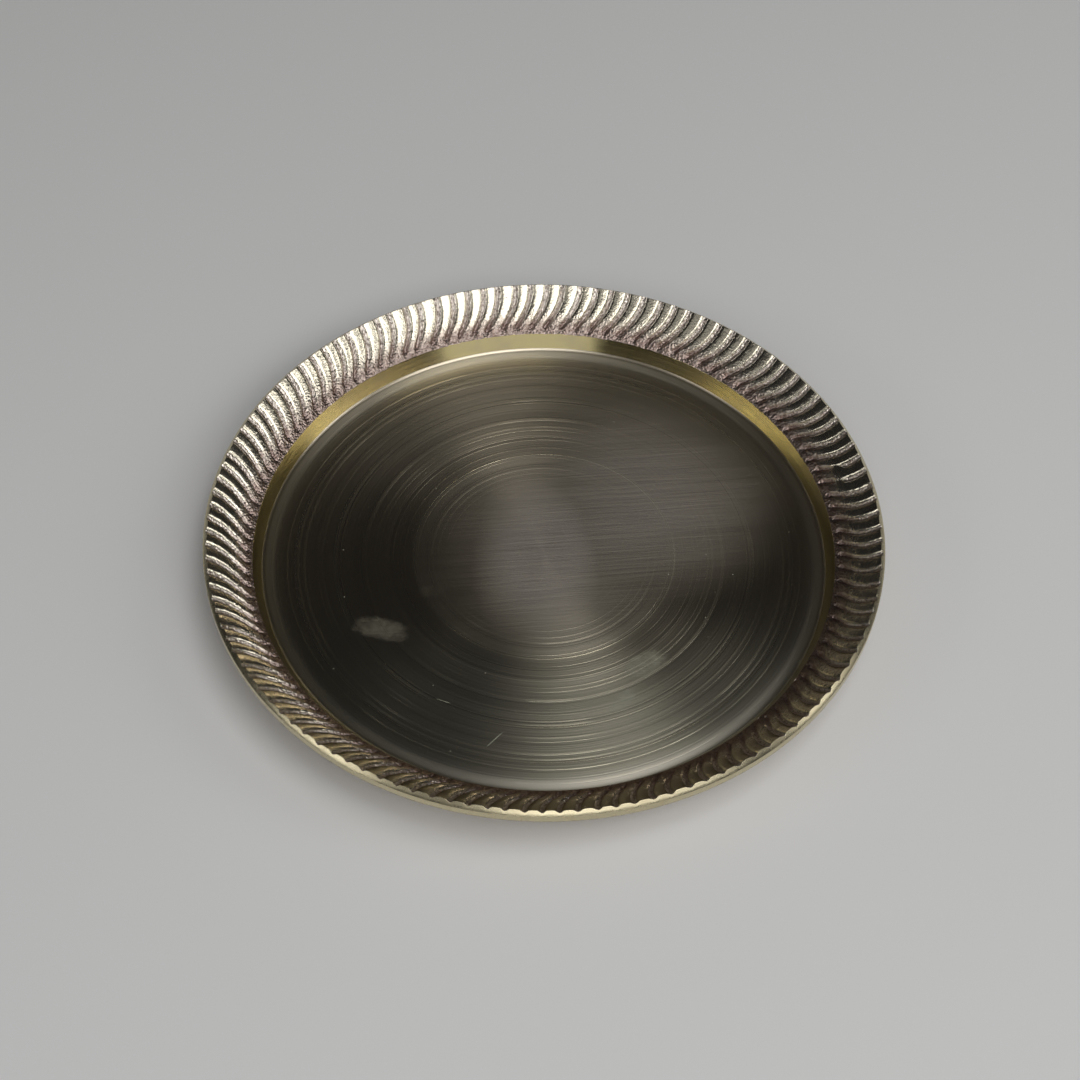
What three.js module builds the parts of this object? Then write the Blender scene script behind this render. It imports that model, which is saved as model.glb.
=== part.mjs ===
// A round cast brass tray for pins: a flat turned floor, a low step round it and a
// sloping border of S-shaped flutes. It is one casting, turned on a lathe afterwards.
// Millimetres, +Z up, with the origin at the middle of the base.

import * as THREE from "three";

// Driving dimensions: the section, which is the same all the way round

const OUTER_RADIUS = 50; // upright wall of the rim
const RIM_HEIGHT = 9.6; // base to crest
const CHAMFER_WIDTH = 0.67; // turned chamfer between crest and wall, measured outwards
const CHAMFER_HEIGHT = 0.6; // the same chamfer, measured downwards
const RIM_THICKNESS = 1.8; // square to the fluted slope, above a rib
const BASE_ROUNDING = 1.6; // radius between the base and the underside of the rim
const FLOOR_THICKNESS = 2.2;
const FLOOR_RADIUS = 41.9; // sharp corner of floor and step, before its fillet
const FLOOR_FILLET = 0.5;
const STEP_HEIGHT = 2.4; // floor to the inner end of the flutes
const STEP_DRAFT = 28; // degrees that the step leans out of upright

// Driving dimensions: the flutes in the border

const FLUTE_COUNT = 120;
const FLUTE_DEPTH = 0.34; // below a rib's edges, square to the slope
const FLUTE_SWEEP = 3.4; // degrees that a flute turns from its outer to its inner end
const STEEP_SIDE = 0.18; // share of a flute's pitch, on the groove's counter-clockwise side
const GENTLE_SIDE = 0.3; // the same on its other side, and the rest of the pitch is rib
const RIB_CROWN = 0.1; // how far a rib's edges lie below its middle

// A flute's path, as shares of its length counted from the inner end

const SWEEP_END = 0.15; // straight again inside here
const SWEEP_START = 0.95; // straight outside here
const SWEEP_GROWTH = 2.2; // above 1, the turn comes late, near the inner end
const DEPTH_START = -0.05; // the groove would run out to nothing here, beyond its end
const DEPTH_FULL = 0.2; // full depth from here outwards
const CREST_ZONE = 0.6; // the groove gets shallower again from here to the crest
const CREST_EASE = 0.32; // share of its depth that is gone at the crest

// Fineness of the facets

const ROUNDING_STEPS = 3;
const FLUTE_ROWS = [1, 0.8, 0.66, 0.54, 0.43, 0.33, 0.24, 0.15, 0.05];
const RIB_MIDDLE = (STEEP_SIDE + 1 - GENTLE_SIDE) / 2;
const FLUTE_COLUMNS = [0, STEEP_SIDE, RIB_MIDDLE, 1 - GENTLE_SIDE];

const smooth = (low, high, value) => THREE.MathUtils.smoothstep(value, low, high);

// Section of the tray. A point is (radius, height).

const point = (radius, height) => new THREE.Vector2(radius, height);

// Where the line from a along one direction crosses the line from b along another.
function crossing(a, along, b, other) {
  const reach = b.clone().sub(a).cross(other) / along.cross(other);
  return a.clone().addScaledVector(along, reach);
}

// The arc that rounds a corner, from the side of the point before it to the point after.
function rounding(before, corner, after, radius, steps) {
  const back = before.clone().sub(corner).normalize();
  const forth = after.clone().sub(corner).normalize();
  const half = Math.acos(back.dot(forth)) / 2;
  const middle = back.clone().add(forth).normalize();
  const centre = corner.clone().addScaledVector(middle, radius / Math.sin(half));
  const start = corner.clone().addScaledVector(back, radius / Math.tan(half)).sub(centre);
  const turn = Math.sign(back.cross(forth)) * (Math.PI - 2 * half);
  const arc = [];
  for (let step = 0; step <= steps; step++) {
    const spoke = start.clone().rotateAround(point(0, 0), (-turn * step) / steps);
    arc.push(spoke.add(centre));
  }
  return arc;
}

const floorTop = FLOOR_THICKNESS;
const stepLean = STEP_HEIGHT * Math.tan(THREE.MathUtils.degToRad(STEP_DRAFT));
const floorCorner = point(FLOOR_RADIUS, floorTop);
const fluteInner = point(FLOOR_RADIUS + stepLean, floorTop + STEP_HEIGHT);
const crest = point(OUTER_RADIUS - CHAMFER_WIDTH, RIM_HEIGHT);
const wallTop = point(OUTER_RADIUS, RIM_HEIGHT - CHAMFER_HEIGHT);

const slope = crest.clone().sub(fluteInner).normalize();
const inward = point(slope.y, -slope.x); // into the metal, square to the slope
const upright = point(0, 1);
const level = point(1, 0);

// The underside of the rim runs parallel to the flutes.
const underside = fluteInner.clone().addScaledVector(inward, RIM_THICKNESS);
const wallBottom = crossing(underside, slope, wallTop, upright);
const baseCorner = crossing(underside, slope, point(0, 0), level);

// Path of the flutes over the border

// Degrees that a flute has turned at a share of its length.
function sweepAt(share) {
  const turned = THREE.MathUtils.clamp((SWEEP_START - share) / (SWEEP_START - SWEEP_END), 0, 1);
  return FLUTE_SWEEP * turned ** SWEEP_GROWTH;
}

// How deep the surface lies below the slope along the ribs. Phase 0 is a groove's middle.
function sinkAt(phase, share) {
  const eased = 1 - CREST_EASE * smooth(CREST_ZONE, 1, share);
  const fade = eased * smooth(DEPTH_START, DEPTH_FULL, share);
  const off = phase < 0.5 ? phase / STEEP_SIDE : (1 - phase) / GENTLE_SIDE;
  if (off < 1) {
    return fade * (RIB_CROWN + FLUTE_DEPTH * Math.cos((Math.PI / 2) * off));
  }
  const away = (phase - RIB_MIDDLE) / (RIB_MIDDLE - STEEP_SIDE);
  return fade * RIB_CROWN * away ** 2;
}

// A point of the border's section. On the outermost row the chamfer cuts the casting, so
// the point lies on the chamfer, further out where the groove is deeper.
function bordered(phase, share) {
  const sink = sinkAt(phase, share);
  if (share === 1) {
    const chamfer = wallTop.clone().sub(crest).normalize();
    return crest.clone().addScaledVector(chamfer, sink / chamfer.dot(inward));
  }
  return fluteInner.clone().lerp(crest, share).addScaledVector(inward, sink);
}

// Rings of points round the axis

const pitch = 360 / FLUTE_COUNT;

function placed(section, degrees) {
  const angle = THREE.MathUtils.degToRad(degrees);
  return [section.x * Math.cos(angle), section.x * Math.sin(angle), section.y];
}

// A turned ring has one point for each flute, at the middle of its groove.
function turnedRing(section, offset = 0) {
  const ring = [];
  for (let flute = 0; flute < FLUTE_COUNT; flute++) {
    ring.push(placed(section, flute * pitch + offset));
  }
  return ring;
}

// A fluted ring follows the grooves and ribs at a share of their length.
function flutedRing(share) {
  const ring = [];
  for (let flute = 0; flute < FLUTE_COUNT; flute++) {
    for (const phase of FLUTE_COLUMNS) {
      ring.push(placed(bordered(phase, share), (flute + phase) * pitch + sweepAt(share)));
    }
  }
  return ring;
}

// Joins rings in their order into one closed skin, with a fan over the first and the last.
// Rings may differ in their number of points.
function skin(rings, firstHub, lastHub) {
  const places = [firstHub, ...rings.flat(), lastHub];
  const faces = [];
  const starts = [];
  let next = 1;
  for (const ring of rings) {
    starts.push(next);
    next += ring.length;
  }
  const spot = (k, i) => starts[k] + (i % rings[k].length);

  for (let i = 0; i < rings[0].length; i++) {
    faces.push(0, spot(0, i + 1), spot(0, i));
  }
  for (let k = 0; k + 1 < rings.length; k++) {
    const lower = rings[k].length;
    const upper = rings[k + 1].length;
    let i = 0;
    let j = 0;
    while (i < lower || j < upper) {
      const lowerFirst = (i + 0.5) / lower <= (j + 0.5) / upper;
      if (j === upper || (i < lower && lowerFirst)) {
        faces.push(spot(k, i), spot(k, i + 1), spot(k + 1, j));
        i++;
      } else {
        faces.push(spot(k, i), spot(k + 1, j + 1), spot(k + 1, j));
        j++;
      }
    }
  }
  const last = rings.length - 1;
  for (let i = 0; i < rings[last].length; i++) {
    faces.push(spot(last, i), spot(last, i + 1), places.length - 1);
  }

  const geometry = new THREE.BufferGeometry();
  geometry.setAttribute("position", new THREE.Float32BufferAttribute(places.flat(), 3));
  geometry.setIndex(faces);
  geometry.computeVertexNormals();
  return geometry;
}

// The tray, from the middle of its base outwards, over the crest and back to the floor

function castTray() {
  const base = rounding(point(0, 0), baseCorner, wallBottom, BASE_ROUNDING, ROUNDING_STEPS);
  const outside = [...base, wallBottom, wallTop].map((section) => turnedRing(section));
  const border = FLUTE_ROWS.map((share) => flutedRing(share));
  const foot = rounding(fluteInner, floorCorner, point(0, floorTop), FLOOR_FILLET, ROUNDING_STEPS);
  const dish = [fluteInner, ...foot].map((section) => turnedRing(section, FLUTE_SWEEP));
  const geometry = skin([...outside, ...border, ...dish], [0, 0, 0], [0, 0, floorTop]);

  const brass = new THREE.MeshStandardMaterial({ color: 0x9c7f45, roughness: 0.38, metalness: 1 });
  const mesh = new THREE.Mesh(geometry, brass);
  mesh.name = "cast_tray";
  return mesh;
}

const tray = new THREE.Group();
tray.add(castTray());

export default tray;
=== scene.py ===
"""Looks of a small round cast brass tray for pins.

The tray is one casting. It is modelled as a plain turned blank, spun from its section, into
which the flutes of the border are then carved by moving the blank's own vertices. Each
turned or cast area of the skin has a finish of its own. The tray is modelled in millimetres
and scaled to metres at the end. The studio's sizes are in metres.
"""

import logging
import math
import random
from dataclasses import dataclass, field
from enum import Enum
from typing import Any, Mapping, Sequence

import bmesh
import bpy
from mathutils import Matrix, Vector, noise


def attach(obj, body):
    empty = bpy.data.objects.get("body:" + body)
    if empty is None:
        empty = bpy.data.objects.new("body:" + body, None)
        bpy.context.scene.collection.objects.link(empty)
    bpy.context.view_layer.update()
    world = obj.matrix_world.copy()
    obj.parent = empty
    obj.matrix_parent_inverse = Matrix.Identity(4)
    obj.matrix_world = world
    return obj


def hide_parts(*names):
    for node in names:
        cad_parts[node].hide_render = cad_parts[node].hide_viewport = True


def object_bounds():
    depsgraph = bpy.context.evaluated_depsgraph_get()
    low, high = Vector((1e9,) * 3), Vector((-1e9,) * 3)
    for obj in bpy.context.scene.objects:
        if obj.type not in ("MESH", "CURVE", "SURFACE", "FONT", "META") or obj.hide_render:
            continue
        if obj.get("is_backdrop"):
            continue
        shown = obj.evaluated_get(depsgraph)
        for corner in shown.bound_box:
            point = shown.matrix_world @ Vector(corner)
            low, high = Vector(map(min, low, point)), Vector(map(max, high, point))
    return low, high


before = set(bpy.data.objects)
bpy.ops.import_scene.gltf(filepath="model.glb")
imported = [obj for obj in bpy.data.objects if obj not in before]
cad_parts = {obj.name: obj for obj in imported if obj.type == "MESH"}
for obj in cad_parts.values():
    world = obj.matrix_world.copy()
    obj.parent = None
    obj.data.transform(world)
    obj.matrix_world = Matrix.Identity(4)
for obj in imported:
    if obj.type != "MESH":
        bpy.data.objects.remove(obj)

log = logging.getLogger("pin_tray")

MM = 0.001
PIECE = "brass_tray"
NODE = "cast_tray"

Point = tuple[float, float]
Colour = tuple[float, float, float, float]


@dataclass(frozen=True)
class ToolStep:
    """A shallow step that the lathe's tool left in the floor, in millimetres."""

    radius: float
    height: float


TOOL_STEPS = (ToolStep(19.5, 0.020), ToolStep(31.3, 0.011), ToolStep(37.1, 0.009))


class Zone(Enum):
    """Areas of the tray's skin, in the order of its material slots."""

    UNDERSIDE = 0
    EDGE = 1
    BORDER = 2
    STEP = 3
    FLOOR = 4


class Signal:
    """A number that varies over a surface. Sums and products of signals add Math nodes."""

    def __init__(self, bench: "Bench", socket: bpy.types.NodeSocket | None) -> None:
        """Wrap one output socket of a bench's node tree. The tree's last node has none."""
        self.bench = bench
        self.socket = socket

    def _with(self, operation: str, *operands: Any) -> "Signal":
        """Add one Math node that works on the given operands in their order."""
        return self.bench.add("ShaderNodeMath", {"operation": operation}, dict(enumerate(operands)))

    def __add__(self, other: Any) -> "Signal":
        """Sum."""
        return self._with("ADD", self, other)

    __radd__ = __add__

    def __mul__(self, other: Any) -> "Signal":
        """Product."""
        return self._with("MULTIPLY", self, other)

    __rmul__ = __mul__

    def __sub__(self, other: Any) -> "Signal":
        """Difference."""
        return self._with("SUBTRACT", self, other)

    def __rsub__(self, other: Any) -> "Signal":
        """Difference with the signal as the second term."""
        return self._with("SUBTRACT", other, self)

    def __truediv__(self, other: Any) -> "Signal":
        """Quotient."""
        return self._with("DIVIDE", self, other)

    def __pow__(self, other: Any) -> "Signal":
        """Power."""
        return self._with("POWER", self, other)

    def __abs__(self) -> "Signal":
        """Size without sign."""
        return self._with("ABSOLUTE", self)

    def root(self) -> "Signal":
        """Square root."""
        return self._with("SQRT", self)

    def least(self, other: Any) -> "Signal":
        """The lower of two signals."""
        return self._with("MINIMUM", self, other)

    def most(self, other: Any) -> "Signal":
        """The higher of two signals."""
        return self._with("MAXIMUM", self, other)

    def rise(self, low: float, high: float) -> "Signal":
        """A smooth step from 0 at low to 1 at high. It falls where low is above high."""
        if low > high:
            return 1 - self.rise(high, low)
        return self.bench.add(
            "ShaderNodeMapRange",
            {"interpolation_type": "SMOOTHSTEP"},
            {"Value": self, "From Min": low, "From Max": high},
        )


class Bench:
    """A material's node tree, with the coordinates of its piece in millimetres."""

    def __init__(self, name: str) -> None:
        """Make a material with an empty node tree.

        Args:
            name: name of the material.
        """
        self.material = bpy.data.materials.new(name)
        self.material.use_nodes = True
        self.tree = self.material.node_tree
        self.tree.nodes.clear()
        self.place = self.add("ShaderNodeTexCoord", output="Object")
        self.place_mm = self.add(
            "ShaderNodeVectorMath", {"operation": "SCALE"}, {0: self.place, "Scale": 1 / MM}
        )
        apart = self.add("ShaderNodeSeparateXYZ", inputs={0: self.place_mm})
        outputs = apart.socket.node.outputs
        self.x, self.y, self.z = (Signal(self, outputs[axis]) for axis in "XYZ")
        self.radius = (self.x * self.x + self.y * self.y).root()

    def add(
        self,
        kind: str,
        settings: Mapping[str, Any] | None = None,
        inputs: Mapping[int | str, Any] | None = None,
        output: int | str = 0,
    ) -> Signal:
        """Add one node.

        Args:
            kind: the node's type.
            settings: properties that are set first.
            inputs: values or signals by socket.
            output: which output is returned.

        Returns:
            The node's output as a signal.
        """
        node = self.tree.nodes.new(kind)
        for name, value in (settings or {}).items():
            setattr(node, name, value)
        for key, value in (inputs or {}).items():
            if isinstance(value, Signal):
                self.tree.links.new(value.socket, node.inputs[key])
            else:
                node.inputs[key].default_value = value
        return Signal(self, node.outputs[output] if node.outputs else None)

    def grain(
        self, scale: float, detail: float = 2.0, stretch: Sequence[float] = (1, 1, 1),
        turn: float = 0.0, roughness: float = 0.5,
    ) -> Signal:
        """Noise from 0 to 1 over the piece.

        Args:
            scale: about how many patches there are to a millimetre.
            detail: number of finer layers.
            stretch: factors of the scale along each axis, before the turn.
            turn: angle about Z of the stretched axes.
            roughness: weight of the finer layers.

        Returns:
            The noise.
        """
        turned = self.add(
            "ShaderNodeMapping",
            {"vector_type": "POINT"},
            {"Vector": self.place_mm, "Rotation": (0, 0, -turn), "Scale": (1, 1, 1)},
        )
        drawn = self.add(
            "ShaderNodeVectorMath", {"operation": "MULTIPLY"}, {0: turned, 1: tuple(stretch)}
        )
        return self.add(
            "ShaderNodeTexNoise",
            {"noise_dimensions": "3D"},
            {"Vector": drawn, "Scale": scale, "Detail": detail, "Roughness": roughness},
        )

    def marks(self, place: Signal, detail: float) -> Signal:
        """Noise along one line, as the marks of a turning tool are.

        Args:
            place: where on the line, with about one mark to a unit.
            detail: number of finer layers.

        Returns:
            The noise, from 0 to 1.
        """
        return self.add(
            "ShaderNodeTexNoise",
            {"noise_dimensions": "1D"},
            {"W": place, "Scale": 1.0, "Detail": detail},
        )

    def rings(self, scale: float, detail: float = 2.0, start: float = 0.0) -> Signal:
        """Marks of a turning tool that depend on the radius alone.

        Args:
            scale: about how many rings there are to a millimetre.
            detail: number of finer layers.
            start: where in the noise the centre lies.

        Returns:
            The noise, from 0 to 1.
        """
        return self.marks(self.radius * scale + start, detail)

    def blend(self, share: Any, first: Any, second: Any) -> Signal:
        """Mix two colours.

        Args:
            share: share of the second colour.
            first: colour or signal.
            second: colour or signal.

        Returns:
            The mixed colour.
        """
        return self.add(
            "ShaderNodeMix",
            {"data_type": "RGBA", "blend_type": "MIX", "clamp_factor": True},
            {0: share, 6: first, 7: second},
            output=2,
        )

    def relief(self, height: Signal, depth: float, strength: float = 1.0) -> Signal:
        """Turn a height into a normal.

        Args:
            height: relief from 0 to 1.
            depth: what a height of 1 stands for, in metres.
            strength: share of the effect.

        Returns:
            The normal.
        """
        return self.add(
            "ShaderNodeBump", inputs={"Height": height, "Distance": depth, "Strength": strength}
        )

    def metal(
        self, colour: Any, roughness: Any, normal: Signal | None = None, brushed: float = 0.0,
        turn: float = 0.0, grazing: Any = (1, 1, 1, 1),
    ) -> Signal:
        """A metal surface.

        Args:
            colour: colour or signal.
            roughness: number or signal.
            normal: bumped normal.
            brushed: how much the gloss is drawn out square to the tool marks.
            turn: where the gloss is drawn out to, as a share of a full turn.
            grazing: tint of what is reflected at a low angle.

        Returns:
            The surface.
        """
        inputs: dict[int | str, Any] = {
            "Base Color": colour,
            "Metallic": 1.0,
            "Roughness": roughness,
            "Anisotropic": brushed,
            "Anisotropic Rotation": turn,
            "Specular Tint": grazing,
        }
        if normal is not None:
            inputs["Normal"] = normal
        return self.add("ShaderNodeBsdfPrincipled", inputs=inputs)

    def finish(self, surface: Signal) -> bpy.types.Material:
        """Link the surface to the output.

        Args:
            surface: the shader that the material shows.

        Returns:
            The finished material.
        """
        self.add("ShaderNodeOutputMaterial", inputs={"Surface": surface})
        return self.material


@dataclass(frozen=True)
class Smudge:
    """A dull spot or a scratch on the floor: its place and half sizes in millimetres."""

    x: float
    y: float
    width: float
    length: float
    turn: float
    strength: float


@dataclass(frozen=True)
class Cloud:
    """A soft patch on the floor where the strokes hide the turning, in millimetres."""

    x: float
    y: float
    reach: float
    strength: float


@dataclass(frozen=True)
class TurnedFloor:
    """Floor of the dish: turned on a lathe, then stroked to and fro with fine abrasive."""

    brass: Colour = (0.64, 0.56, 0.42, 1)
    # lighter gold painted on the tool steps and turning lines as a highlight
    painted_ring_highlight: Colour = (0.88, 0.80, 0.58, 1)
    worn: Colour = (0.60, 0.55, 0.50, 1)
    dull_green: Colour = (0.50, 0.54, 0.44, 1)
    # pale colour painted on the dull band beside the fillet as a highlight
    painted_edge_highlight: Colour = (0.82, 0.77, 0.67, 1)
    roughness: float = 0.31
    brushed: float = 0.82
    gloss_turn: float = 0.25
    mark_depth: float = 3.2e-5
    stroked_roughness: float = 0.56
    stroke_turn: float = math.radians(6)
    stroke_depth: float = 5.5e-5
    disc_radius: float = TOOL_STEPS[0].radius
    plain_radius: float = 9.0
    haze_radius: float = 40.1
    haze_roughness: float = 0.43
    green_start: float = -4.0
    green_full: float = -30.0
    centre_reach: float = 22.0
    centre_core: float = 6.0
    centre_narrowing: float = 1.5
    centre_strength: float = 0.88
    half_worn: float = 0.7
    speck_scale: float = 0.42
    clouds: tuple[Cloud, ...] = (
        Cloud(2.0, 1.0, 28.0, 0.75),
        Cloud(17.0, 11.0, 26.0, 1.90),
        Cloud(11.0, 22.0, 20.0, 0.40),
    )
    smudges: tuple[Smudge, ...] = (
        Smudge(-23.5, -14.5, 1.9, 4.0, math.radians(-14), 0.32),
        Smudge(-15.5, -7.5, 1.6, 3.0, math.radians(-10), 0.10),
        Smudge(15.0, -20.0, 2.0, 3.2, math.radians(35), 0.50),
        Smudge(11.5, -26.5, 1.1, 2.6, math.radians(50), 0.55),
        Smudge(-6.6, -33.4, 0.09, 1.7, math.radians(48), 0.9),
        Smudge(-14.0, -27.0, 0.08, 1.1, math.radians(-20), 0.7),
        Smudge(4.5, -12.0, 0.07, 1.4, math.radians(30), 0.6),
        Smudge(24.0, 3.0, 0.07, 0.8, math.radians(75), 0.5),
    )

    def _smudged(self, bench: Bench) -> Signal:
        """Where dull spots and scratches lie, from 0 to 1.

        Args:
            bench: the floor's node tree.

        Returns:
            Strength of the spots.
        """
        wobble = bench.grain(1.1, 4.0, roughness=0.6)
        total: Signal | None = None
        for spot in self.smudges:
            east, north = bench.x - spot.x, bench.y - spot.y
            cos, sin = math.cos(spot.turn), math.sin(spot.turn)
            along = abs((east * cos + north * sin) / spot.length)
            across = abs((north * cos - east * sin) / spot.width)
            reach = (along**3 + across**3) + (wobble - 0.5) * 2.2
            here = reach.rise(1.4, 0.0) * spot.strength
            total = here if total is None else total.most(here)
        return total * (bench.grain(1.2, 4.0) * 1.2 + 0.3)

    def _specks(self, bench: Bench) -> Signal:
        """Where tiny specks lie, from 0 to 1.

        Args:
            bench: the floor's node tree.

        Returns:
            Strength of the specks.
        """
        apart = bench.add(
            "ShaderNodeTexVoronoi",
            {"voronoi_dimensions": "3D", "feature": "F1"},
            {"Vector": bench.place_mm, "Scale": self.speck_scale, "Randomness": 1.0},
        )
        return apart.rise(0.06, 0.03) * bench.grain(0.13, 1.0).rise(0.38, 0.56)

    def _haze_and_sheen(self, bench: Bench) -> Signal:
        """Where the floor turns dull beside its fillet, from 0 to 1; a pale painted highlight also
        goes there.

        Args:
            bench: the floor's node tree.

        Returns:
            Strength of the haze.
        """
        edge = self.haze_radius
        fading = bench.radius.rise(edge + 1.1, edge + 1.6) * 0.7
        return bench.radius.rise(edge - 1.4, edge + 0.9) * (1 - fading)

    def _worn(self, bench: Bench, haze_and_sheen: Signal) -> Signal:
        """Where the strokes hide the turning, from 0 to 1.

        Args:
            bench: the floor's node tree.
            haze_and_sheen: what _haze gives, the dull band beside the fillet with its painted
                highlight. The strokes stop there.

        Returns:
            Share of the stroked surface.
        """
        soft_strokes = bench.grain(0.3, 3.0, (0.12, 1.0, 1.0), self.stroke_turn)
        worn = bench.radius.rise(self.disc_radius + 0.2, self.disc_radius - 0.6) * 0.02
        for cloud in self.clouds:
            off = ((bench.x - cloud.x) ** 2 + (bench.y - cloud.y) ** 2).root()
            worn = worn + off.rise(cloud.reach, 0.0) ** 2 * cloud.strength
        worn = worn * (soft_strokes * 1.1 + 0.35) * (1 - haze_and_sheen)
        wide = bench.x * self.centre_narrowing
        apart = (wide * wide + bench.y * bench.y).root()
        centre = apart.rise(self.centre_reach, self.centre_core) * self.centre_strength
        return (worn / (worn + self.half_worn) * 1.1).most(centre)

    def material(self) -> bpy.types.Material:
        """Build the material.

        Returns:
            The finished material.
        """
        bench = Bench("turned_floor")
        outside = bench.radius.rise(self.plain_radius, self.disc_radius - 1.0)
        fine = (bench.rings(4.2, 2.0) - 0.5) * outside
        broad = (bench.rings(0.34, 2.0, 7.3) + bench.rings(1.3, 1.0, 3.9) - 1.0) * outside * 0.5
        kept = (bench.grain(0.06, 2.0).rise(0.40, 0.60) * 0.75 + 0.25) * outside
        lines = bench.rings(1.9, 2.0, 21.7).rise(0.56, 0.68) * kept
        ringed = sum(abs(bench.radius - step.radius).rise(0.28, 0.10) for step in TOOL_STEPS) * kept
        strokes = bench.grain(1.6, 4.0, (0.05, 1.3, 1.0), self.stroke_turn, 0.65)
        haze_and_sheen = self._haze_and_sheen(bench)
        worn = self._worn(bench, haze_and_sheen)
        smudged = self._smudged(bench).most(self._specks(bench))
        stroked = worn.most(smudged).least(1.0)

        # The floor turns greener and darker towards the camera's side, from y = -4 mm to y = -30
        # mm.
        nearer_green = bench.y.rise(self.green_start, self.green_full) * 0.4
        colour = bench.blend(nearer_green, self.brass, self.dull_green)
        # Painted highlight: the tool steps and the fine turning lines get a lighter gold colour all
        # the way round.
        colour = bench.blend(lines * 0.25 + ringed * 0.7, colour, self.painted_ring_highlight)
        colour = bench.blend(worn * 0.8, colour, self.worn)
        # Painted highlight: the dull band beside the fillet gets a pale colour; its greater
        # roughness is real.
        colour = bench.blend(haze_and_sheen * 0.6, colour, self.painted_edge_highlight)
        colour = bench.blend(smudged * 0.7, colour, self.dull_green)

        turned_roughness = self.roughness + (broad + fine) * 0.12 + (lines - ringed) * 0.06
        turned_roughness = turned_roughness + haze_and_sheen * (self.haze_roughness - self.roughness)
        marks = fine * kept * 0.5 + broad * 0.36 + lines * 0.5
        turned_normal = bench.relief(marks, self.mark_depth)
        turned = bench.metal(colour, turned_roughness, turned_normal, self.brushed, self.gloss_turn)

        stroked_roughness = self.stroked_roughness + smudged * 0.22 + (strokes - 0.5) * 0.15
        stroke_normal = bench.relief(strokes + fine * 0.12, self.stroke_depth)
        brushed = bench.metal(colour, stroked_roughness, stroke_normal)
        surface = bench.add("ShaderNodeMixShader", inputs={0: stroked, 1: turned, 2: brushed})
        return bench.finish(surface)


@dataclass(frozen=True)
class PolishedStep:
    """Low wall between the floor and the flutes: turned and left bright."""

    brass: Colour = (0.76, 0.66, 0.34, 1)
    dull: Colour = (0.62, 0.54, 0.34, 1)
    roughness: float = 0.15
    mark_depth: float = 8e-6

    def material(self) -> bpy.types.Material:
        """Build the material.

        Returns:
            The finished material.
        """
        bench = Bench("polished_step")
        lines = bench.marks(bench.z * 9.0 + bench.radius * 3.0, 3.0)
        patches = bench.grain(0.35, 3.0)
        colour = bench.blend(patches.rise(0.4, 0.8) * 0.6, self.brass, self.dull)
        roughness = self.roughness + (patches - 0.5) * 0.12
        normal = bench.relief(lines, self.mark_depth, 0.7)
        return bench.finish(bench.metal(colour, roughness, normal))


@dataclass(frozen=True)
class CastSkin:
    """Fluted border: the grooves and the inner ends keep the mould's grainy pink-tinted skin, and
    the ribs are rubbed smooth and glossy. Towards the inner ends the skin is darkened as painted
    shade."""

    rib: Colour = (0.74, 0.68, 0.54, 1)
    skin: Colour = (0.84, 0.76, 0.68, 1)
    # darkened copy of the skin, used as painted shade towards the inner ends
    shaded_rosy: Colour = (0.37, 0.28, 0.25, 1)
    soot: Colour = (0.20, 0.13, 0.10, 1)
    grazing: Colour = (0.27, 0.17, 0.10, 1)
    rib_roughness: float = 0.23
    skin_roughness: float = 0.34
    grain_depth: float = 2.4e-4
    least_grain: float = 0.14

    def material(self) -> bpy.types.Material:
        """Build the material.

        Returns:
            The finished material.
        """
        bench = Bench("cast_skin")
        groove = bench.add("ShaderNodeAttribute", {"attribute_name": "groove"}, output="Fac")
        share = bench.add("ShaderNodeAttribute", {"attribute_name": "share"}, output="Fac")
        mottle = bench.grain(0.9, 4.0)
        pits = bench.grain(3.0, 1.0, roughness=0.4)

        inner = share.rise(0.62, 0.08)
        edge = groove + (pits - 0.5) * 0.5
        rough = (edge.rise(0.34, 0.60) + inner * 0.9 + mottle.rise(0.60, 0.80) * 0.25).least(1.0)
        # Painted shade, partly: towards the inner ends of the flutes the skin turns pinker, which
        # is its own tint, and much darker, which is painted shade.
        shaded_rosy = (inner * 1.05 + (mottle - 0.5) * 1.0).most(0.0).least(1.0)
        colour = bench.blend(rough, self.rib, bench.blend(shaded_rosy, self.skin, self.shaded_rosy))
        dirt = (groove.rise(0.7, 1.3) * 0.5 + rough * pits.rise(0.50, 0.66) * 0.6).least(1.0)
        colour = bench.blend(dirt, colour, self.soot)

        wear = (mottle - 0.5) * 0.12
        roughness = self.rib_roughness + rough * (self.skin_roughness - self.rib_roughness) + wear
        height = pits * (rough * (1 - self.least_grain) + self.least_grain)
        normal = bench.relief(height, self.grain_depth)
        return bench.finish(bench.metal(colour, roughness, normal, grazing=self.grazing))


@dataclass(frozen=True)
class MachinedEdge:
    """Chamfer and outer wall, cut by the lathe."""

    brass: Colour = (0.64, 0.57, 0.38, 1)
    tarnished: Colour = (0.52, 0.43, 0.26, 1)
    roughness: float = 0.27
    mark_depth: float = 1.2e-5

    def material(self) -> bpy.types.Material:
        """Build the material.

        Returns:
            The finished material.
        """
        bench = Bench("machined_edge")
        lines = bench.marks(bench.z * 7.0 + bench.radius * 5.0, 3.0)
        patches = bench.grain(0.6, 3.0)
        roughness = self.roughness + (patches - 0.5) * 0.14 + (lines - 0.5) * 0.06
        colour = bench.blend(patches.rise(0.45, 0.75) * 0.35, self.brass, self.tarnished)
        normal = bench.relief(lines, self.mark_depth, 0.7)
        return bench.finish(bench.metal(colour, roughness, normal))


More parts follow.
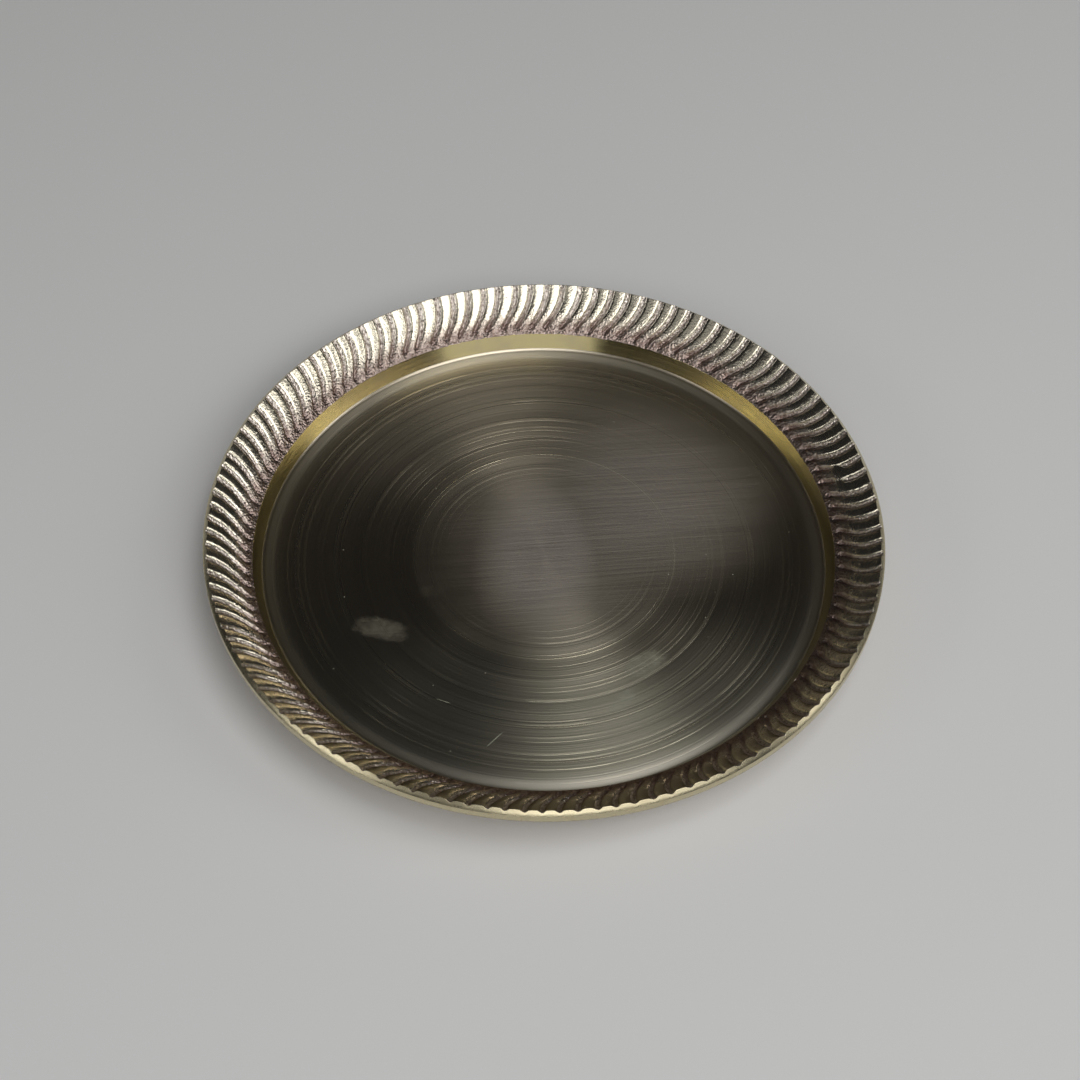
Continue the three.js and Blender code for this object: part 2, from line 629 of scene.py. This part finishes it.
@dataclass(frozen=True)
class Underside:
    """Underneath: a turned flat that the tray stands on, and cast skin on the slope round it."""

    brass: Colour = (0.62, 0.52, 0.33, 1)
    cast: Colour = (0.44, 0.34, 0.22, 1)
    stained: Colour = (0.40, 0.32, 0.20, 1)
    flat_radius: float = 40.0
    cast_roughness: float = 0.52
    flat_roughness: float = 0.36
    mark_depth: float = 1.8e-5

    def material(self) -> bpy.types.Material:
        """Build the material.

        Returns:
            The finished material.
        """
        bench = Bench("underside")
        turned = bench.radius.rise(self.flat_radius + 1.0, self.flat_radius + 0.2)
        fine = bench.rings(2.2, 3.0, 3.1)
        sand = bench.grain(4.0, 4.0)
        mottle = bench.grain(0.25, 3.0)
        colour = bench.blend(turned, self.cast, self.brass)
        colour = bench.blend(mottle.rise(0.4, 0.8) * 0.5, colour, self.stained)
        smoother = turned * (self.cast_roughness - self.flat_roughness)
        roughness = self.cast_roughness - smoother + (mottle - 0.5) * 0.2
        height = fine * turned + sand * (1 - turned) * 2.5
        normal = bench.relief(height, self.mark_depth, 0.8)
        return bench.finish(bench.metal(colour, roughness, normal))


@dataclass(frozen=True)
class Section:
    """Section of the tray, which is the same all the way round before the flutes."""

    outer_radius: float = 50.0
    rim_height: float = 9.6
    chamfer_width: float = 0.67
    chamfer_height: float = 0.6
    rim_thickness: float = 1.8
    base_rounding: float = 1.6
    floor_thickness: float = 2.2
    floor_radius: float = 41.9
    floor_fillet: float = 0.5
    fillet_reach: float = 0.65
    step_height: float = 2.4
    step_draft: float = math.radians(28)

    @property
    def flute_inner(self) -> Vector:
        """Corner between the step and the inner end of the flutes."""
        lean = self.step_height * math.tan(self.step_draft)
        return Vector((self.floor_radius + lean, self.floor_thickness + self.step_height))

    @property
    def floor_corner(self) -> Vector:
        """Sharp corner of floor and step, before its fillet."""
        return Vector((self.floor_radius, self.floor_thickness))

    @property
    def fillet_top(self) -> Vector:
        """Point of the step just above the fillet."""
        return self.floor_corner - self.step * self.floor_fillet * self.fillet_reach

    @property
    def crest(self) -> Vector:
        """Where the chamfer cuts the slope above a rib."""
        return Vector((self.outer_radius - self.chamfer_width, self.rim_height))

    @property
    def wall_top(self) -> Vector:
        """Sharp corner of chamfer and outer wall."""
        return Vector((self.outer_radius, self.rim_height - self.chamfer_height))

    @property
    def slope(self) -> Vector:
        """Unit vector up the fluted slope."""
        return (self.crest - self.flute_inner).normalized()

    @property
    def inward(self) -> Vector:
        """Unit vector into the metal, square to the slope."""
        return Vector((self.slope.y, -self.slope.x))

    @property
    def chamfer(self) -> Vector:
        """Unit vector down the chamfer."""
        return (self.wall_top - self.crest).normalized()

    @property
    def step(self) -> Vector:
        """Unit vector down the step."""
        return (self.floor_corner - self.flute_inner).normalized()

    def _underside_at(self, radius: float) -> float:
        """Height of the rim's underside at a radius."""
        start = self.flute_inner + self.inward * self.rim_thickness
        return start.y + (radius - start.x) * self.slope.y / self.slope.x

    @property
    def wall_bottom(self) -> Vector:
        """Corner of outer wall and underside."""
        return Vector((self.outer_radius, self._underside_at(self.outer_radius)))

    @property
    def base_corner(self) -> Vector:
        """Sharp corner of base and underside, before its rounding."""
        start = self.flute_inner + self.inward * self.rim_thickness
        return Vector((start.x - start.y * self.slope.x / self.slope.y, 0.0))


def smooth(low: float, high: float, value: float) -> float:
    """Smooth step from 0 at low to 1 at high.

    Args:
        low: where the step starts.
        high: where the step ends.
        value: where it is read.

    Returns:
        The height of the step, from 0 to 1.
    """
    share = min(max((value - low) / (high - low), 0.0), 1.0)
    return share * share * (3 - 2 * share)


@dataclass(frozen=True)
class Flutes:
    """S-shaped flutes of the border, cast from a pattern that was cut by hand."""

    count: int = 120
    depth: float = 0.38
    crown: float = 0.04
    gentle_share: float = 0.30
    steep_share: float = 0.22
    soft_edges: float = 0.5
    sweep: float = math.radians(3.4)
    sweep_start: float = 0.95
    sweep_end: float = 0.15
    sweep_growth: float = 2.2
    sweep_ease: float = 0.3
    fade_start: float = 0.0
    fade_end: float = 0.19
    crest_zone: float = 0.6
    crest_ease: float = 0.18
    first_groove: float = math.radians(1.58)
    drift: float = 0.035
    drift_peak: float = math.radians(45)
    jitter: float = 0.06
    waver: float = 0.11
    skin_noise: float = 0.018
    flaw_angle: float = math.radians(15.5)
    flaw_width: float = math.radians(3.6)
    flaw_share: float = 0.47
    flaw_length: float = 0.2
    columns: tuple[float, ...] = (
        0, 0.055, 0.11, 0.165, 0.22, 0.28, 0.37, 0.46, 0.55, 0.635, 0.70, 0.775, 0.85, 0.925
    )
    seed: int = 12

    def offsets(self) -> list[tuple[float, float, float]]:
        """Small differences between the flutes.

        Returns:
            For each flute: shift in shares of the pitch, factor of its depth, sink of its rib.
        """
        pick = random.Random(self.seed)
        return [
            (pick.gauss(0, self.jitter), 1 + pick.gauss(0, 0.10), pick.gauss(0, 0.012))
            for _ in range(self.count)
        ]

    def angle_at(self, place: float) -> float:
        """Angle at the crest of a place that is counted in flutes.

        Args:
            place: number of the flute, with the phase as its fraction.

        Returns:
            The angle about the axis.
        """
        even = math.tau * place / self.count
        return even + self.drift * math.sin(even - self.drift_peak) + self.first_groove

    def sweep_at(self, share: float) -> float:
        """How far a flute has turned at a share of its length, 0 at its inner end."""
        turned = (self.sweep_start - share) / (self.sweep_start - self.sweep_end)
        grown = max(turned, 0.0) ** self.sweep_growth
        short = max(self.sweep_ease - abs(1 - grown), 0.0)
        return self.sweep * (min(grown, 1.0) - short * short / (4 * self.sweep_ease))

    def valley(self, phase: float) -> float:
        """Depth of the groove as a share of its full depth.

        Args:
            phase: place across the flute, 0 and 1 at the bottom of the groove.

        Returns:
            Depth from 0 on the rib to 1 in the groove's bottom.
        """
        off = phase / self.steep_share if phase < 0.5 else (1 - phase) / self.gentle_share
        off = min(off, 1.0)
        crisp = math.cos(math.pi / 2 * off)
        soft = (1 + math.cos(math.pi * off)) / 2
        return crisp + (soft - crisp) * self.soft_edges

    def relief_at(self, share: float) -> float:
        """Share of the full relief at a place along the flute."""
        eased = 1 - self.crest_ease * smooth(self.crest_zone, 1, share)
        return eased * smooth(self.fade_start, self.fade_end, share)

    def crown_at(self, phase: float) -> float:
        """How far a rib's skin lies below the middle of the rib."""
        middle = (self.steep_share + 1 - self.gentle_share) / 2
        reach = (1 - self.gentle_share - self.steep_share) / 2
        off = min(abs(phase - middle) / reach, 1.0)
        return self.crown * off * off

    def flaw_at(self, angle: float, share: float) -> float:
        """Strength of the spot where metal ran across the grooves."""
        across = (math.remainder(angle - self.flaw_angle, math.tau)) / self.flaw_width
        along = (share - self.flaw_share) / self.flaw_length
        return 1 - smooth(0.3, 1.1, math.hypot(across, along))


@dataclass
class Tray:
    """The tray: blank, flutes and finishes."""

    section: Section = field(default_factory=Section)
    flutes: Flutes = field(default_factory=Flutes)
    border_rows: int = 29
    coarse_columns: int = 336
    coarse_end: float = 39.0
    floor_join: float = 39.6
    floor_end: float = 41.1
    wall_join: float = 8.4
    join_gap: float = 0.3
    join_margin: float = 0.1
    edge_rounding: float = 0.08
    tool_step_width: float = 0.09
    edge_hold: float = 0.05
    step_relax: float = 0.7
    flaw_filling: float = 0.85
    merge: float = 4e-3
    end_share: float = 1e-4

    @staticmethod
    def _round(
        bm: bmesh.types.BMesh, corner: bmesh.types.BMVert, radius: float, segments: int
    ) -> None:
        """Round a corner of a section that is still a chain of edges.

        Args:
            bm: mesh with the chain.
            corner: vertex with two edges.
            radius: radius of the rounding.
            segments: number of edges in it.
        """
        back, forth = (edge.other_vert(corner).co - corner.co for edge in corner.link_edges)
        reach = radius / math.tan(back.angle(forth) / 2)
        bmesh.ops.bevel(
            bm, geom=[corner], offset=reach, offset_type="OFFSET", segments=segments,
            profile=0.5, affect="VERTICES", material=-1,
        )

    def _spin(
        self, bm: bmesh.types.BMesh, zone: Zone, points: Sequence[Sequence[float]], angle: float,
        steps: int, rounded: Mapping[int, tuple[float, int]] | None = None,
    ) -> None:
        """Spin one stretch of the section about the axis.

        Args:
            bm: mesh that the faces are added to.
            zone: area of the skin that they belong to.
            points: (radius, height) of the stretch.
            angle: how far it is spun.
            steps: number of columns in that angle.
            rounded: radius and segments by the index of a point whose corner is rounded.
        """
        part = bmesh.new()
        verts = [part.verts.new((radius, 0, height)) for radius, height in points]
        for pair in zip(verts, verts[1:]):
            part.edges.new(pair)
        for index, (radius, segments) in (rounded or {}).items():
            self._round(part, verts[index], radius, segments)
        bmesh.ops.spin(
            part, geom=part.verts[:] + part.edges[:], axis=(0, 0, 1), cent=(0, 0, 0),
            angle=angle, steps=steps, use_merge=angle == math.tau, use_duplicate=False,
        )
        for face in part.faces:
            face.material_index = zone.value
        self._append(bm, part)

    @staticmethod
    def _append(bm: bmesh.types.BMesh, part: bmesh.types.BMesh) -> None:
        """Add one mesh to another and free it.

        Args:
            bm: mesh that grows.
            part: mesh that is added.
        """
        mesh = bpy.data.meshes.new("part")
        part.to_mesh(mesh)
        bm.from_mesh(mesh)
        bpy.data.meshes.remove(mesh)
        part.free()

    def _border_shares(self) -> list[float]:
        """Places of the border's rows along the flutes, from the inner end outwards."""
        hold = self.edge_hold / (self.section.crest - self.section.flute_inner).length
        inner = [row / self.border_rows for row in range(1, self.border_rows)]
        return [0.0, hold, *inner, 1 - hold, 1.0]

    def _fluted_band(self, bm: bmesh.types.BMesh) -> None:
        """Spin the part that holds the flutes, in fine columns: one flute first, then copies.

        Args:
            bm: mesh that the band is added to.
        """
        s, hold = self.section, self.edge_hold
        pitch = math.tau / self.flutes.count
        steps = len(self.flutes.columns)
        flute = bmesh.new()
        floor_end = (self.floor_end, s.floor_thickness)
        floor_line = [(self.floor_join, s.floor_thickness), floor_end, s.floor_corner, s.fillet_top]
        self._spin(flute, Zone.FLOOR, floor_line, pitch, steps, {2: (s.floor_fillet, 5)})
        step_line = [
            s.fillet_top,
            s.flute_inner + s.step * 1.3,
            s.flute_inner + s.step * 0.3,
            s.flute_inner + s.step * hold,
            s.flute_inner,
        ]
        self._spin(flute, Zone.STEP, step_line, pitch, steps)
        slope = [s.flute_inner.lerp(s.crest, share) for share in self._border_shares()]
        self._spin(flute, Zone.BORDER, slope, pitch, steps)
        edge_line = [
            s.crest,
            s.crest + s.chamfer * hold,
            s.crest.lerp(s.wall_top, 0.5),
            s.wall_top,
            (s.outer_radius, self.wall_join),
        ]
        self._spin(flute, Zone.EDGE, edge_line, pitch, steps, {3: (self.edge_rounding, 3)})
        bmesh.ops.remove_doubles(flute, verts=flute.verts[:], dist=self.merge)
        bmesh.ops.spin(
            flute, geom=flute.verts[:] + flute.edges[:] + flute.faces[:], axis=(0, 0, 1),
            cent=(0, 0, 0), angle=math.tau, steps=self.flutes.count, use_merge=False,
            use_duplicate=True,
        )
        self._append(bm, flute)

    def _floor_line(self) -> list[Point]:
        """Section of the floor from the axis outwards, with its shallow tool steps."""
        top = self.section.floor_thickness
        line = [(0.0, top), (1.0, top), (6.0, top)]
        half = self.tool_step_width / 2
        for step in TOOL_STEPS:
            line += [
                (step.radius - 5 * half, top),
                (step.radius - 3 * half, top),
                (step.radius - half, top + step.height * 0.9),
                (step.radius, top + step.height),
                (step.radius + half, top),
                (step.radius + 3 * half, top),
            ]
        return [*line, (self.coarse_end, top)]

    @staticmethod
    def _close(
        bm: bmesh.types.BMesh, inner: float, outer: float, height: float, zone: Zone
    ) -> None:
        """Bridge the gap between the fine columns and the coarse ones.

        Args:
            bm: mesh with the gap.
            inner: least radius of the two loops.
            outer: greatest radius of the two loops.
            height: least height of the two loops.
            zone: area of the skin that the new faces belong to.
        """
        loops = [
            edge
            for edge in bm.edges
            if edge.is_boundary
            and inner < edge.verts[0].co.xy.length < outer
            and edge.verts[0].co.z > height
        ]
        for face in bmesh.ops.bridge_loops(bm, edges=loops)["faces"]:
            face.material_index = zone.value

    def _blank(self) -> bmesh.types.BMesh:
        """Turn the tray without its flutes.

        Returns:
            A closed mesh with one zone for each face.
        """
        s, columns, margin = self.section, self.coarse_columns, self.join_margin
        bm = bmesh.new()
        self._fluted_band(bm)
        self._spin(bm, Zone.FLOOR, self._floor_line(), math.tau, columns)
        low, rim, wall_start = s.wall_bottom, s.outer_radius, self.wall_join - self.join_gap
        wall = [(rim, wall_start), (low.x, low.y)]
        self._spin(bm, Zone.EDGE, wall, math.tau, columns)
        under = [(low.x, low.y), s.base_corner, (36.0, 0), (20, 0), (6, 0), (1.0, 0), (0, 0)]
        self._spin(bm, Zone.UNDERSIDE, under, math.tau, columns, {1: (s.base_rounding, 6)})
        bmesh.ops.remove_doubles(bm, verts=bm.verts[:], dist=self.merge)
        self._close(bm, self.coarse_end - margin, self.floor_join + margin, 0.0, Zone.FLOOR)
        self._close(bm, rim - margin, rim + margin, wall_start - margin, Zone.EDGE)
        return bm

    def _drop(
        self, place: float, share: float, angle: float,
        differences: Sequence[tuple[float, float, float]],
    ) -> tuple[float, float]:
        """How far the cast skin lies below the slope's own line.

        Args:
            place: number of the flute, with the phase as its fraction.
            share: place along the flute.
            angle: angle about the axis.
            differences: what Flutes.offsets gives.

        Returns:
            The drop in millimetres, and the depth of the groove as a share.
        """
        f = self.flutes
        flute, phase = divmod(place, 1.0)
        _, deeper, sunk = differences[int(flute) % f.count]
        flaw = f.flaw_at(angle, share)
        fade = f.relief_at(share) * (1 - self.flaw_filling * flaw)
        valley = f.valley(phase) * fade
        around = Vector((math.cos(angle), math.sin(angle), 0))
        waver = noise.noise(around * 5.0) * 0.7 + noise.noise(around * 12.0) * 0.45
        spot = Vector((around.x * 46, around.y * 46, share * 8))
        coarser = 1 + 1.2 * (1 - smooth(0.05, 0.4, share)) + 3 * flaw
        rough = noise.fractal(spot * 1.3, 0.9, 2.0, 3) * coarser
        drop = (
            f.depth * deeper * valley
            + fade * (f.crown_at(phase) + sunk)
            + f.waver * waver * smooth(0.1, 0.9, share)
            + f.skin_noise * rough
        )
        return drop, valley

    def _carve(self, bm: bmesh.types.BMesh) -> None:
        """Move the blank's vertices to the casting's flutes, and what is turned to meet them.

        Args:
            bm: the blank, which is changed.
        """
        s, f = self.section, self.flutes
        groove = bm.verts.layers.float.new("groove")
        along = bm.verts.layers.float.new("share")
        differences = f.offsets()
        steps = len(f.columns)
        total = f.count * steps
        length = (s.crest - s.flute_inner).length
        chamfer_length = (s.wall_top - s.crest).length

        for vert in bm.verts:
            here = Vector((vert.co.xy.length, vert.co.z))
            if here.x < self.merge:
                continue
            column = round(math.atan2(vert.co.y, vert.co.x) / math.tau * total) % total
            flute, index = divmod(column, steps)
            phase = f.columns[index]
            place = flute + phase
            following = differences[(flute + 1) % f.count][0]
            shift = differences[flute][0] * (1 - phase) + following * phase
            angle = f.angle_at(place) + shift * math.tau / f.count
            share = min(max((here - s.flute_inner).dot(s.slope) / length, 0.0), 1.0)
            off_slope = abs((here - s.flute_inner).dot(s.inward))
            above = here.y > s.floor_thickness - self.merge

            if above and here.x < s.flute_inner.x - self.merge:
                angle += f.sweep_at(0.0)
                apart = (here - s.flute_inner).length / self.step_relax
                if apart < 1:
                    drop, _ = self._drop(place, 0.0, angle, differences)
                    here += s.step * (drop / s.step.dot(s.inward)) * (1 - apart)
            elif above and off_slope < self.merge:
                angle += f.sweep_at(share)
                drop, valley = self._drop(place, share, angle, differences)
                vert[groove], vert[along] = valley, share
                if share > 1 - self.end_share:
                    here = s.crest + s.chamfer * (drop / s.chamfer.dot(s.inward))
                elif share < self.end_share:
                    here = s.flute_inner + s.step * (drop / s.step.dot(s.inward))
                else:
                    here += s.inward * drop
            elif here.y > s.wall_top.y - self.edge_hold * 3:
                apart = min((here - s.crest).length / chamfer_length, 1.0)
                drop, _ = self._drop(place, 1.0, angle, differences)
                here += s.chamfer * (drop / s.chamfer.dot(s.inward)) * (1 - apart)
                vert[along] = 1.0
            elif not above or here.x < s.outer_radius - self.merge:
                angle += f.sweep_at(0.0) if above else 0.0
            vert.co = (here.x * math.cos(angle), here.x * math.sin(angle), here.y)

    def build(self) -> bpy.types.Object:
        """Make the finished tray.

        Returns:
            The tray's object, with its materials.
        """
        bm = self._blank()
        self._carve(bm)
        bmesh.ops.recalc_face_normals(bm, faces=bm.faces[:])
        bmesh.ops.scale(bm, vec=(MM, MM, MM), verts=bm.verts[:])
        open_edges = sum(1 for edge in bm.edges if not edge.is_manifold)
        for face in bm.faces:
            face.smooth = True
        mesh = bpy.data.meshes.new(PIECE)
        bm.to_mesh(mesh)
        triangles = sum(len(face.verts) - 2 for face in bm.faces)
        bm.free()
        log.info("%s: %d triangles, %d open edges", PIECE, triangles, open_edges)
        for finish in (Underside(), MachinedEdge(), CastSkin(), PolishedStep(), TurnedFloor()):
            mesh.materials.append(finish.material())
        tray = bpy.data.objects.new(PIECE, mesh)
        bpy.context.scene.collection.objects.link(tray)
        return tray


@dataclass(frozen=True)
class Softbox:
    """A soft lamp. Azimuth 0 is the camera's side, and positive is to its right."""

    name: str
    azimuth: float
    elevation: float
    distance: float
    width: float
    height: float
    radiance: float
    colour: tuple[float, float, float] = (1, 1, 1)

    def place(self) -> None:
        """Hang the lamp, facing the tray."""
        azimuth, elevation = math.radians(self.azimuth), math.radians(self.elevation)
        level = math.cos(elevation)
        spot = Vector((math.sin(azimuth) * level, -math.cos(azimuth) * level, math.sin(elevation)))
        lamp = bpy.data.lights.new(self.name, "AREA")
        lamp.shape = "RECTANGLE"
        lamp.size, lamp.size_y = self.width, self.height
        lamp.energy = self.radiance * math.pi * self.width * self.height
        lamp.color = self.colour
        lamp_object = bpy.data.objects.new(self.name, lamp)
        turned = spot.to_track_quat("Z", "Y").to_matrix().to_4x4()
        lamp_object.matrix_world = Matrix.Translation(spot * self.distance) @ turned
        bpy.context.scene.collection.objects.link(lamp_object)


@dataclass(frozen=True)
class Studio:
    """Plain pale floor, soft lamps and a dim room."""

    floor_size: float = 6.0
    paper: Colour = (0.80, 0.80, 0.79, 1)
    paper_shade: Colour = (0.75, 0.75, 0.74, 1)
    room: Colour = (0.014, 0.014, 0.015, 1)
    lamps: tuple[Softbox, ...] = (
        Softbox("key_softbox", 22, 50, 0.80, 0.80, 0.46, 2.35),
        Softbox("high_right_softbox", 56, 75, 0.80, 0.42, 0.30, 2.8),
        Softbox("right_softbox", 86, 32, 0.80, 0.28, 0.40, 2.3),
        Softbox("left_softbox", -62, 28, 0.90, 0.42, 0.20, 1.8),
        Softbox("high_left_softbox", -50, 45, 1.00, 0.60, 0.50, 0.30),
        Softbox("low_softbox", 10, 12, 0.90, 0.90, 0.32, 0.55),
        Softbox("far_right_softbox", 161, 5, 0.60, 0.10, 0.035, 4.8, (1.0, 0.84, 0.60)),
    )

    def _floor(self) -> None:
        """Lay the plain floor that the tray stands on."""
        bm = bmesh.new()
        bmesh.ops.create_grid(bm, x_segments=8, y_segments=8, size=self.floor_size / 2)
        mesh = bpy.data.meshes.new("studio_floor")
        bm.to_mesh(mesh)
        bm.free()
        bench = Bench("studio_floor")
        colour = bench.blend(bench.grain(0.02, 3.0) * 0.2, self.paper, self.paper_shade)
        surface = bench.add("ShaderNodeBsdfDiffuse", inputs={"Color": colour})
        mesh.materials.append(bench.finish(surface))
        ground = bpy.data.objects.new("studio_floor", mesh)
        bpy.context.scene.collection.objects.link(ground)
        ground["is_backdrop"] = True

    def _room(self) -> None:
        """Give the room its dim even light."""
        world = bpy.data.worlds.new("studio_room")
        world.use_nodes = True
        world.node_tree.nodes["Background"].inputs["Color"].default_value = self.room
        bpy.context.scene.world = world

    def set_up(self) -> None:
        """Build the floor, the room and the lamps."""
        self._floor()
        self._room()
        for lamp in self.lamps:
            lamp.place()
            log.info("lamp %s", lamp.name)


@dataclass(frozen=True)
class Viewpoint:
    """The photograph's camera, found from the circles of rim, step and floor."""

    lens: float = 70.5
    sensor: float = 36.0
    elevation: float = math.radians(51.35)
    roll: float = math.radians(0.731)
    aim: Vector = field(default_factory=lambda: Vector((0, 0, 2.2 * MM)))
    aside: float = 0.569 * MM
    below: float = 1.907 * MM
    distance: float = 316.6 * MM

    def place(self) -> None:
        """Set up the camera and make it the scene's own."""
        ahead = Vector((0, math.cos(self.elevation), -math.sin(self.elevation)))
        level = Vector((1, 0, 0))
        upright = Vector((0, math.sin(self.elevation), math.cos(self.elevation)))
        right = level * math.cos(self.roll) + upright * math.sin(self.roll)
        up = upright * math.cos(self.roll) - level * math.sin(self.roll)
        spot = self.aim - right * self.aside + up * self.below - ahead * self.distance
        camera = bpy.data.cameras.new("camera")
        camera.lens, camera.sensor_width = self.lens, self.sensor
        camera.clip_start, camera.clip_end = 0.01, 20
        holder = bpy.data.objects.new("camera", camera)
        turned = Matrix((right, up, -ahead)).transposed()
        holder.matrix_world = Matrix.Translation(spot) @ turned.to_4x4()
        bpy.context.scene.collection.objects.link(holder)
        bpy.context.scene.camera = holder


def as_lists(box: Any) -> Any:
    """Turn nested vectors into plain lists of numbers."""
    try:
        return [as_lists(item) for item in box]
    except TypeError:
        return float(box)


def main() -> None:
    """Build the camera, the studio and the tray."""
    logging.basicConfig(level=logging.INFO, format="%(name)s %(message)s")
    bpy.context.scene.view_settings.view_transform = "Standard"
    cad_box = as_lists(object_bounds())
    Viewpoint().place()
    Studio().set_up()
    tray = Tray().build()
    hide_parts(NODE)
    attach(tray, "root")
    {"cad": cad_box, "visual": as_lists(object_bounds())}


if __name__ == "__main__":
    main()
